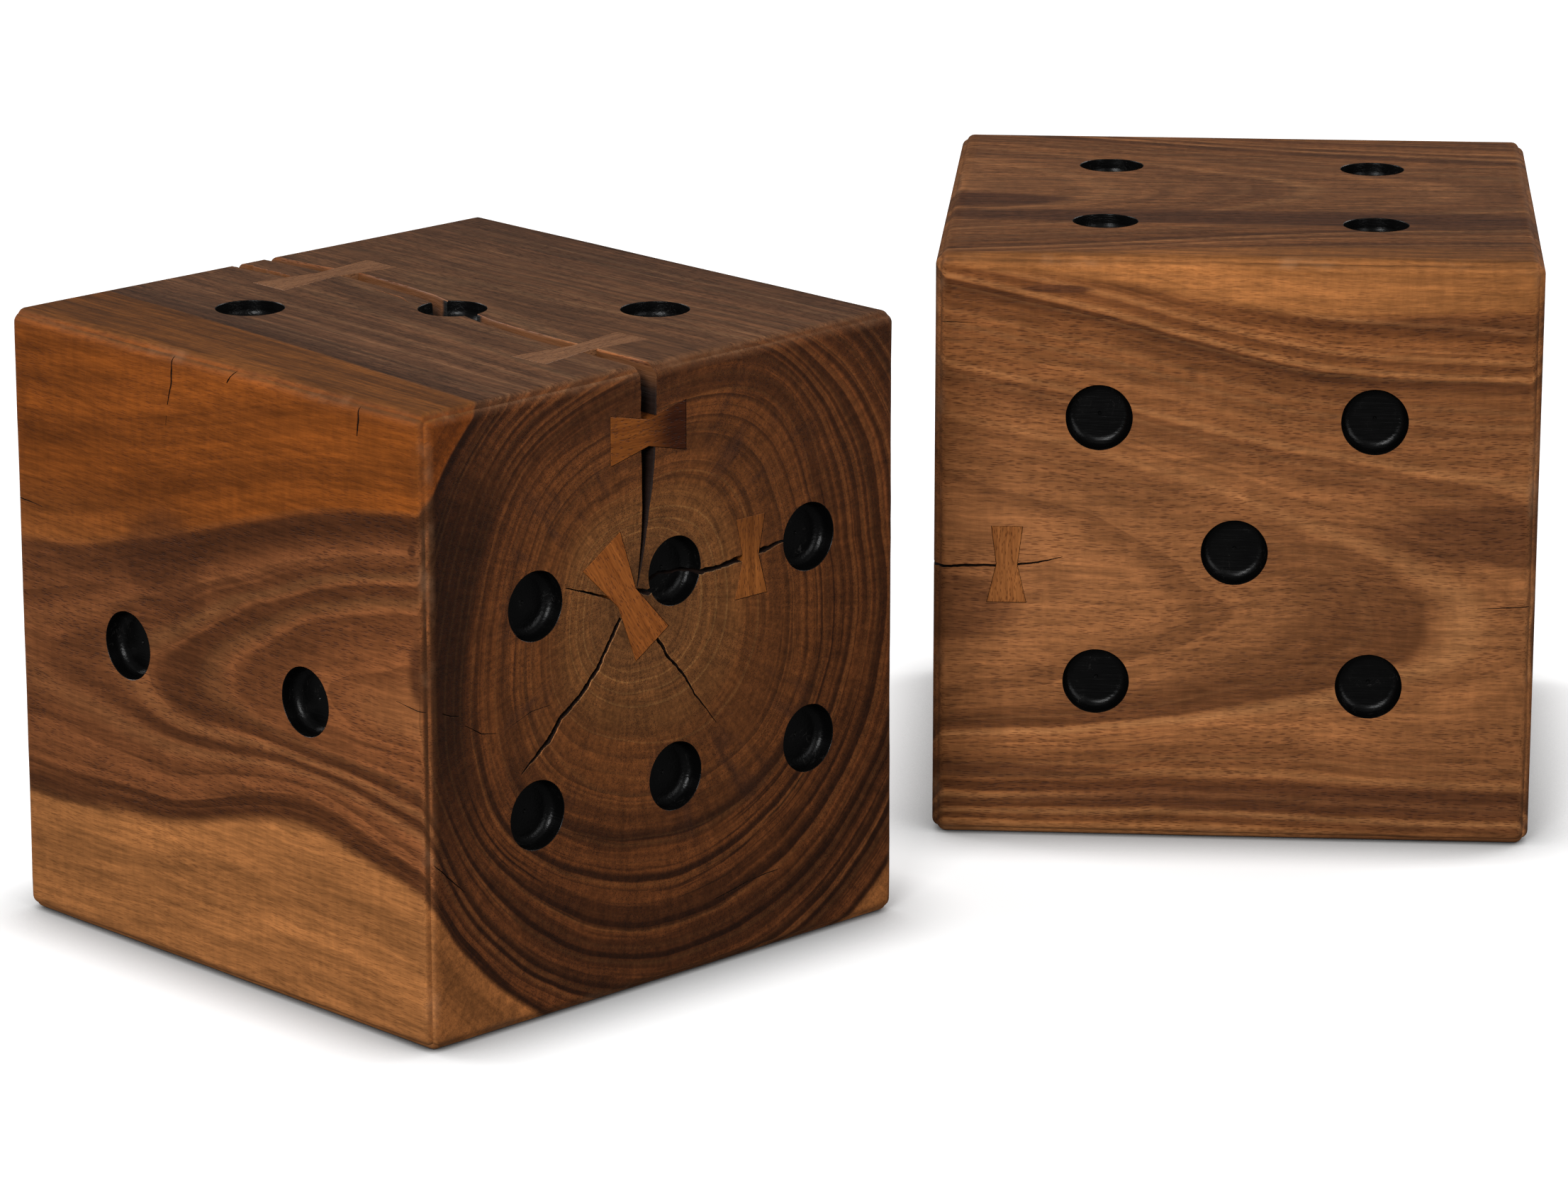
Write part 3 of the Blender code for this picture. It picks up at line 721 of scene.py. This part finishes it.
# Chosen rings are (outer edge, reach inwards, strength above the middle, strength below it)
LEFT_LOOK = {
    "axis": "Y",
    "heart": ((-0.077, 0.145), (-0.05, 0.12)),
    "lean": (0.184, -0.184),
    "taper": 0.0,
    "low_taper": 0.0,
    "tilt": (0.026, 0.185),
    "ripple": 0.024,
    "full_corner": 0.27,
    "bare_corner": 0.14,
    "squareness": 0.07,
    "rim": (0.585, 0.585),
    "sway": 0.008,
    "drift": 0.016,
    "bands": 34.0,
    "rings": 56.0,
    "threads": 95.0,
    "thread_strength": 1.0,
    "stain_range": (0.47, 0.6),
    "dark_side": 0.95,
    "chosen_rings": [
        (0.325, 0.024, 0.0, 0.92), (0.349, 0.01, 0.5, 0.3), (0.38, 0.014, 0.7, 1.0),
        (0.405, 0.012, 0.85, 0.15), (0.421, 0.007, 0.7, 0.2), (0.441, 0.015, 0.8, 1.0),
        (0.463, 0.009, 0.75, 0.5), (0.484, 0.014, 0.6, 1.0), (0.512, 0.018, 0.75, 0.2),
        (0.526, 0.015, 0.85, 0.9), (0.541, 0.009, 0.15, 0.95), (0.583, 0.044, 1.0, 0.0),
        (0.583, 0.013, 0.0, 0.9)],
    "beside": 0.12,
    "light": [
        (0.0, (0.224, 0.099, 0.036)), (0.07, (0.258, 0.112, 0.04)), (0.12, (0.392, 0.166, 0.058)),
        (0.23, (0.403, 0.164, 0.052)), (0.27, (0.336, 0.121, 0.036)), (0.45, (0.302, 0.102, 0.03)),
        (0.62, (0.3, 0.099, 0.03)), (0.74, (0.286, 0.096, 0.031)), (0.8, (0.252, 0.083, 0.026))],
    "dark": [
        (0.0, (0.13, 0.055, 0.02)), (0.12, (0.23, 0.096, 0.032)), (0.23, (0.2, 0.078, 0.024)),
        (0.3, (0.15, 0.054, 0.017)), (0.45, (0.095, 0.031, 0.01)), (0.62, (0.074, 0.023, 0.007)),
        (0.8, (0.048, 0.014, 0.0038))],
    "stain": [(0.0, 0.3), (0.35, 0.4), (0.55, 0.65), (0.7, 0.62), (0.8, 0.6)],
    "ring_strength": [(0.0, 0.45), (0.3, 0.55), (0.5, 0.9), (0.8, 0.85)],
    "pale_lines": [(0.0, 0.0), (0.08, 0.25), (0.16, 0.85), (0.2, 0.85), (0.3, 0.3), (0.6, 0.0)],
    "pale": (0.56, 0.28, 0.1),
    "sap": ((0.405, 0.155, 0.046), (0.232, 0.06, 0.0075)),
    "dark_spots": [
        ((-0.5, -0.5, 0.1), (0.045, 0.03, 0.06), 0.85), ((0.5, -0.5, -0.283), (0.24, 0.04, 0.018), 0.7),
        ((-0.47, -0.5, 0.288), (0.01, 0.02, 0.009), 0.85), ((0.12, -0.5, 0.155), (0.11, 0.04, 0.095), 0.6),
        ((0.2, 0.5, 0.15), (0.03, 0.02, 0.014), 0.85)],
    "spot": (0.085, 0.027, 0.009),
    "end_tint": (0.52, 0.465, 0.393),
    "end_dark_tint": (0.3, 0.28, 0.27),
    "sap_end_tint": (0.66, 0.61, 0.56),
    # Painted sheen on the top: a greyer, bluer tint
    "painted_top_sheen_shade": (0.475, 0.605, 0.84),
    "sap_painted_top_sheen_shade": (0.59, 0.74, 1.0),
    "top_contrast": 0.66,
    "rear_rings": (0.55, 0.62),
    "fade": (1.14, 0.88),
    # Edge colour: partly wear, partly a painted highlight
    "worn": (0.28, 0.11, 0.04),
    "scuffed": (0.42, 0.22, 0.12),
    "raw": ((0.215, 0.078, 0.021), (0.105, 0.037, 0.012)),
}
RIGHT_LOOK = {
    "axis": "X",
    "heart": ((0.03, -0.07), (0.03, -0.12)),
    "lean": (0.0, 0.0),
    "taper": 0.16,
    "low_taper": 0.03,
    "tilt": (0.0, 0.0),
    "ripple": 0.0,
    "full_corner": 0.0,
    "bare_corner": 0.0,
    "squareness": 0.0,
    "rim": (0.705, 0.775),
    "sway": 0.0115,
    "drift": 0.02,
    "bands": 20.0,
    "rings": 46.0,
    "threads": 75.0,
    "thread_strength": 0.85,
    "stain_range": (0.48, 0.64),
    "dark_side": 0.0,
    "chosen_rings": [
        (0.556, 0.034, 0.48, 1.0), (0.602, 0.034, 0.7, 0.6), (0.622, 0.016, 0.3, 1.0),
        (0.638, 0.014, 0.55, 1.0), (0.652, 0.012, 0.4, 0.8), (0.688, 0.022, 0.95, 0.6),
        (0.706, 0.01, 0.7, 0.5), (0.742, 0.016, 0.8, 0.5), (0.47, 0.012, 0.35, 0.4),
        (0.42, 0.01, 0.35, 0.4)],
    "beside": 0.3,
    "light": [
        (0.0, (0.29, 0.114, 0.04)), (0.4, (0.33, 0.126, 0.043)), (0.56, (0.375, 0.146, 0.05)),
        (0.62, (0.375, 0.143, 0.047)), (0.72, (0.34, 0.122, 0.036)), (0.8, (0.31, 0.107, 0.03))],
    "dark": [
        (0.0, (0.11, 0.044, 0.017)), (0.4, (0.13, 0.05, 0.019)), (0.56, (0.15, 0.054, 0.018)),
        (0.66, (0.13, 0.043, 0.014)), (0.74, (0.095, 0.03, 0.009)), (0.8, (0.08, 0.023, 0.006))],
    "stain": [(0.0, 0.5), (0.5, 0.22), (0.68, 0.55), (0.8, 0.85)],
    "ring_strength": [(0.0, 0.6), (0.55, 0.62), (0.65, 0.8), (0.8, 0.85)],
    "pale_lines": [(0.0, 0.1), (0.58, 0.06), (0.66, 0.22), (0.8, 0.1)],
    "pale": (0.56, 0.26, 0.095),
    "sap": ((0.41, 0.16, 0.05), (0.405, 0.15, 0.042)),
    "dark_spots": [
        ((-0.5, -0.5, -0.103), (0.145, 0.25, 0.072), 0.62),
        ((-0.5, -0.065, 0.5), (0.235, 0.066, 0.14), 1.0), ((-0.3, -0.5, 0.444), (0.06, 0.04, 0.008), 1.0),
        ((0.03, -0.185, 0.5), (0.75, 0.06, 0.08), 0.92), ((0.42, -0.5, 0.395), (0.22, 0.06, 0.018), 0.5),
        ((0.2, -0.5, -0.428), (0.6, 0.1, 0.026), 0.85), ((-0.45, -0.5, -0.385), (0.3, 0.08, 0.014), 0.68),
        ((0.47, -0.5, 0.035), (0.27, 0.08, 0.06), 0.7)],
    "spot": (0.115, 0.039, 0.014),
    "end_tint": (0.55, 0.5, 0.44),
    "end_dark_tint": (0.38, 0.35, 0.32),
    "sap_end_tint": (0.76, 0.7, 0.64),
    # Painted shade on the top: a darker tint
    "painted_top_sheen_shade": (0.6, 0.63, 0.69),
    "sap_painted_top_sheen_shade": (0.5, 0.49, 0.45),
    "top_contrast": 0.9,
    "rear_rings": (1.0, 1.0),
    "fade": (1.06, 0.92),
    # Edge colour: partly wear, partly a painted highlight
    "worn": (0.34, 0.15, 0.06),
    "scuffed": (0.48, 0.28, 0.16),
    "raw": ((0.3, 0.11, 0.034), (0.16, 0.058, 0.02)),
}
# A key's light and dark tones, the place of its split, and how much darker it is past that
KEY_TONES = {
    "left_die_front_upper_key": ((0.26, 0.076, 0.011), (0.165, 0.044, 0.006), 0.01, 1.0),
    "left_die_front_centre_key": ((0.35, 0.104, 0.019), (0.23, 0.063, 0.01), 0.3, 0.0),
    "left_die_front_side_key": ((0.32, 0.102, 0.02), (0.205, 0.062, 0.011), 0.0, 0.35),
    "right_die_front_key": ((0.38, 0.134, 0.034), (0.255, 0.083, 0.019), 0.3, 0.0),
}
PLAIN_TONE = ((0.245, 0.112, 0.05), (0.165, 0.07, 0.03), 0.3, 0.0)


# ---------------- meshes

def wobble(place, scale, seed=0.0):
    """Smooth noise from -1 to 1 at a place."""
    return noise.noise(Vector(place) * scale + Vector((seed, seed * 0.7, -seed)))


def new_object(name, bm, materials=()):
    bmesh.ops.recalc_face_normals(bm, faces=bm.faces)
    mesh = bpy.data.meshes.new(name)
    bm.to_mesh(mesh)
    bm.free()
    for material in materials:
        mesh.materials.append(material)
    mesh.shade_smooth()
    return add_object(name, mesh)


def side_matrix(side, edge):
    """Maps (across, up, out) in metres on a side to the die's own frame."""
    across, up = SIDES[side]
    out = across.cross(up)
    return Matrix.Translation(out * edge / 2) @ Matrix((across, up, out)).transposed().to_4x4()


def loft(bm, rings, material=WOOD, wood_strips=()):
    """Skins closed rings of equal length and caps both ends. The numbered strips stay lacquered wood."""
    count = len(rings[0])
    rings = [[bm.verts.new(point) for point in ring] for ring in rings]
    for lower, upper in zip(rings, rings[1:]):
        for i in range(count):
            j = (i + 1) % count
            face = bm.faces.new((lower[i], lower[j], upper[j], upper[i]))
            face.material_index = WOOD if i in wood_strips else material
    bm.faces.new(list(reversed(rings[0]))).material_index = material
    bm.faces.new(rings[-1]).material_index = material


def grid_lines(edge):
    """Places of the grid lines across a side: close together where the edge is rounded."""
    flat = edge / 2 - EDGE_ROUND
    arc = [flat + EDGE_ROUND * tan(pi / 4 * i / ARC_STEPS) for i in range(1, ARC_STEPS + 1)]
    middle = [flat * (2 * i / FLAT_STEPS - 1) for i in range(FLAT_STEPS + 1)]
    return [-value for value in reversed(arc)] + middle + arc


def hand_sanded(point, edge, seed):
    """Moves a point of a cube's surface onto the rounded block, slightly uneven, as sanding leaves it."""
    flat = edge / 2 - EDGE_ROUND
    core = Vector([max(-flat, min(flat, part)) for part in point])
    out = (point - core).normalized()
    bend = 1 - max(abs(part) for part in out)
    place = core + out * EDGE_ROUND
    hollow = HOLLOW * (1 + wobble(place, 9, seed))
    rubbed = RUB * bend * (1 + wobble(place, 22, seed + 5)) + NICK * bend * (1 + wobble(place, 70, seed))
    return place - out * (hollow + rubbed)


def block_shell(name, edge, seed, materials):
    """The rounded block as one even grid of faces."""
    lines = grid_lines(edge)
    bm = bmesh.new()
    for side in SIDES:
        place = side_matrix(side, edge)
        rows = [[bm.verts.new(hand_sanded(place @ Vector((a, b, 0)), edge, seed)) for a in lines]
                for b in lines]
        for row, next_row in zip(rows, rows[1:]):
            for i in range(len(lines) - 1):
                bm.faces.new((row[i], row[i + 1], next_row[i + 1], next_row[i]))
    bmesh.ops.remove_doubles(bm, verts=bm.verts, dist=0.00002)
    return new_object(name, bm, materials)


def pip_profile():
    """Radius and height of a pip, from its centre dot out over the floor, up the wall and over the rim."""
    floor_radius = PIP_RADIUS - PIP_FLOOR_ROUND
    profile = [(0.0006, -PIP_DEPTH - 0.0007), (0.0014, -PIP_DEPTH)]
    profile.append((floor_radius * 0.55, -PIP_DEPTH + 0.0001))
    for i in range(FLOOR_STEPS + 1):
        turn = pi / 2 * i / FLOOR_STEPS
        profile.append((floor_radius + PIP_FLOOR_ROUND * sin(turn),
                        PIP_FLOOR_ROUND * (1 - cos(turn)) - PIP_DEPTH))
    profile += [(PIP_RADIUS, -0.0007), (PIP_RADIUS + 0.00012, -0.0003), (PIP_RADIUS + 0.00045, 0.0)]
    profile.append((PIP_RADIUS + 0.0005, ABOVE))
    return profile


def pip_cutter(numbers, edge, seed):
    bm = bmesh.new()
    for side, number in numbers.items():
        place = side_matrix(side, edge)
        for across, up in PIPS[number]:
            middle = place @ Vector((across * edge, up * edge, 0))
            rings = []
            for radius, height in pip_profile():
                ring = []
                for i in range(PIP_SIDES):
                    turn = 2 * pi * i / PIP_SIDES
                    spoke = Vector((cos(turn), sin(turn), height * 40))
                    here = radius * (1 + 0.006 * wobble(middle * 50 + spoke, 3.0, seed))
                    ring.append(place @ Vector((across * edge + here * cos(turn),
                                                up * edge + here * sin(turn), height)))
                rings.append(ring)
            loft(bm, rings, PAINT)
    return new_object("pip_cutter", bm)


def butterfly(length, ends, waist):
    """Outline of a butterfly key, anticlockwise, with its length across."""
    far, near = ends[1] / 2, ends[0] / 2
    half = length / 2
    return [Vector(p) for p in ((-half, -near), (0, -waist / 2), (half, -far),
                                (half, far), (0, waist / 2), (-half, near))]


def grown(outline, gap):
    """The outline with every edge moved outwards by the gap."""
    count = len(outline)
    lines = []
    for i in range(count):
        along = (outline[(i + 1) % count] - outline[i]).normalized()
        lines.append((outline[i] + Vector((along.y, -along.x)) * gap, along))
    points = []
    for i in range(count):
        (a, along_a), (b, along_b) = lines[i - 1], lines[i]
        cross = along_a.x * along_b.y - along_a.y * along_b.x
        reach = ((b.x - a.x) * along_b.y - (b.y - a.y) * along_b.x) / cross
        points.append(a + along_a * reach)
    return points


def hand_cut(outline, stray, seed):
    """The outline with points every few millimetres, each slightly off the line."""
    points = []
    for start, end in zip(outline, outline[1:] + outline[:1]):
        steps = max(2, round((end - start).length / 0.003))
        across = Vector((end.y - start.y, start.x - end.x)).normalized()
        for i in range(steps):
            point = start.lerp(end, i / steps)
            points.append(point + across * stray * wobble((point.x, point.y, 0.0), 220, seed))
    return points


def key_place(key, edge):
    side, middle, turn = key[:3]
    return (side_matrix(side, edge) @ Matrix.Translation((middle[0] * edge, middle[1] * edge, 0))
            @ Matrix.Rotation(radians(turn), 4, "Z"))


def mortise_cutter(keys, edge, seed):
    bm = bmesh.new()
    for key in keys.values():
        place = key_place(key, edge)
        outline = hand_cut(grown(butterfly(*key[3:]), FIT_GAP), MORTISE_STRAY, seed)
        rings = [[place @ Vector((point.x, point.y, height)) for point in outline]
                 for height in (-KEY_DEPTH - FIT_GAP, ABOVE)]
        loft(bm, rings, RAW)
    return new_object("mortise_cutter", bm)


def between(points, share):
    """Straight interpolation in a list of (place, value, ...) rows by their first number."""
    for low, high in zip(points, points[1:]):
        if share <= high[0]:
            part = (share - low[0]) / (high[0] - low[0])
            return [a + (b - a) * part for a, b in zip(low, high)]
    return list(points[-1])


def crack_cutter(cracks, edge, seed):
    """Ragged V-shaped grooves; each gets shallower where it gets narrower, and has worn lips."""
    bm = bmesh.new()
    for number, (side, depth, points) in enumerate(cracks):
        place = side_matrix(side, edge)
        rows, run = [], 0.0
        for i, (across, up, width) in enumerate(points):
            if i:
                run += (Vector(points[i][:2]) - Vector(points[i - 1][:2])).length * edge
            rows.append((run, across * edge, up * edge, width / 1000))
        widest = max(row[3] for row in rows)
        count = max(4, round(run / CRACK_STEP))
        spots = [between(rows, run * i / count) for i in range(count + 1)]
        rings = []
        for i, (at, across, up, width) in enumerate(spots):
            before, after = spots[max(i - 1, 0)], spots[min(i + 1, count)]
            along = Vector((after[1] - before[1], after[2] - before[2])).normalized()
            beside = Vector((-along.y, along.x))
            mark = (at, number * 0.37, 0.0)
            drift = min(width, 0.0022) * (0.34 * wobble(mark, 130, seed) + 0.2 * wobble(mark, 420, seed + 2))
            half = width / 2 * (1 + 0.3 * wobble(mark, 240, seed + 4))
            here = depth * (width / widest) ** 0.5
            lip = min(0.0005, width * 0.22)
            levels = [(ABOVE, half + lip), (0.0001, half + lip), (-lip * 1.2, half),
                      (-here * 0.5, half * 0.72), (-here, half * 0.1)]
            centre = Vector((across, up)) + beside * drift
            left = [(*(centre + beside * reach), height) for height, reach in levels]
            right = [(*(centre - beside * reach), height) for height, reach in levels]
            rings.append([place @ Vector(point) for point in left + right[::-1]])
        loft(bm, rings, RAW, (1, 7))
    return new_object("crack_cutter", bm)


def long_crack_cutter(edge, seed):
    """The wide crack of the left die, lofted from front to back, with torn walls and worn mouths."""
    start, end = LONG_CRACK[0][0] * edge, LONG_CRACK[-1][0] * edge
    count = round((end - start) / LONG_CRACK_STEP)
    places = [start + (end - start) * i / count for i in range(count + 1)]
    for mouth in (0.0002, 0.0006, MOUTH):
        places += [edge / 2 - mouth, mouth - edge / 2]
    deepest = LONG_CRACK[0][3]
    rings = []
    for y in sorted(places):
        _, x, width, depth = between(LONG_CRACK, y / edge)
        flare = 0.0007 * max(0.0, 1 - max(0.0, edge / 2 - abs(y)) / MOUTH)
        one_wall, other_wall = [], []
        for level in range(LONG_CRACK_LEVELS + 1):
            down = (level / LONG_CRACK_LEVELS) ** 1.5
            share = between(LONG_CRACK_SECTION, down)[1]
            height = edge / 2 - down * depth / 1000
            lip = 0.0008 * max(0.0, 1 - down * depth / 1.4) + flare * min(1.0, share * 2)
            centre = (x + LONG_CRACK_LEAN * down ** 3 * depth / deepest) * edge
            place = (0.0, y * 0.22, height)
            ragged = WALL_STRAY * wobble(place, 65, seed) + TEAR * wobble(place, 260, seed + 3)
            centre += width / 12000 * ragged
            half = width * share / 2000
            torn = TEAR * min(1.0, share * 1.5)
            one_wall.append((centre + half + lip + torn * wobble(place, 180, seed + 7), height))
            other_wall.append((centre - half - lip - torn * wobble(place, 180, seed + 11), height))
        top_one, top_other = one_wall[0][0], other_wall[0][0]
        top = edge / 2 + ABOVE
        section = [(top_one, top)] + one_wall + other_wall[::-1] + [(top_other, top)]
        rings.append([Vector((across, y, height)) for across, height in section])
    bm = bmesh.new()
    last = 2 * LONG_CRACK_LEVELS + 2
    loft(bm, rings, RAW, (1, 2, last - 2, last - 1))
    return new_object("long_crack_cutter", bm)


def cut(block, cutters):
    """Cuts the block with each cutter in turn, keeps the result as its mesh and removes the cutters."""
    for cutter in cutters:
        modifier = block.modifiers.new(cutter.name, "BOOLEAN")
        modifier.operation = "DIFFERENCE"
        modifier.solver = "MANIFOLD"
        modifier.object = cutter
    graph = bpy.context.evaluated_depsgraph_get()
    mesh = bpy.data.meshes.new_from_object(block.evaluated_get(graph))
    block.modifiers.clear()
    block.data = mesh
    mesh.name = block.name
    for cutter in cutters:
        bpy.data.objects.remove(cutter, do_unlink=True)
    mesh.set_sharp_from_angle(angle=radians(34))
    weighted = block.modifiers.new("even_shading", "WEIGHTED_NORMAL")
    weighted.keep_sharp = True
    weighted.weight = 100


def make_key(name, key, edge, seed, place):
    """A key lies flush with the wood, its upper edges just eased."""
    tone = KEY_TONES.get(name, PLAIN_TONE)
    outline = hand_cut(butterfly(*key[3:]), KEY_STRAY, seed)
    bm = bmesh.new()
    eased = grown(outline, -KEY_EASING)
    rings = [[Vector((p.x, p.y, height)) for p in shape]
             for shape, height in ((outline, -KEY_DEPTH), (outline, -0.00026), (eased, -0.00003))]
    loft(bm, rings)
    thing = new_object(name + "_wood", bm, [key_wood(name + "_grain", tone, seed, edge)])
    thing.data.set_sharp_from_angle(angle=radians(30))
    thing.matrix_world = place @ key_place(key, edge)
    return thing


def make_die(word, yaw, numbers, keys, cracks, checks, look, seed):
    body = word + "_die"
    node = body + "_block"
    low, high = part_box(node)
    edge = high.z - low.z
    place = Matrix.Translation((low + high) / 2) @ Matrix.Rotation(yaw, 4, "Z")
    materials = [block_wood(body + "_lacquered_wood", look, edge),
                 raw_wood(body + "_crack_wood", look, edge),
                 pip_paint(body + "_pip_paint", look["axis"], edge)]
    block = block_shell(body + "_solid_block", edge, seed, materials)
    cutters = [crack_cutter([crack], edge, seed + i) for i, crack in enumerate(cracks)]
    cutters.append(crack_cutter(checks, edge, seed + 20))
    if word == "left":
        cutters.append(long_crack_cutter(edge, seed))
    cutters += [mortise_cutter(keys, edge, seed), pip_cutter(numbers, edge, seed)]
    cut(block, cutters)
    block.matrix_world = place
    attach(block, body)
    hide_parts(node)
    for i, (key_name, key) in enumerate(keys.items()):
        name = f"{body}_{key_name}_key"
        piece = make_key(name, key, edge, seed + 3 * i, place)
        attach(piece, body)
        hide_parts(name)


bpy.context.scene.view_settings.view_transform = "Standard"
add_camera()
light_scene()
make_stage()
make_die("left", LEFT_YAW, LEFT_NUMBERS, LEFT_KEYS, LEFT_CRACKS, LEFT_CHECKS, LEFT_LOOK, 3.0)
make_die("right", RIGHT_YAW, RIGHT_NUMBERS, RIGHT_KEYS, RIGHT_CRACKS, RIGHT_CHECKS, RIGHT_LOOK, 8.0)

bpy.context.view_layer.update()
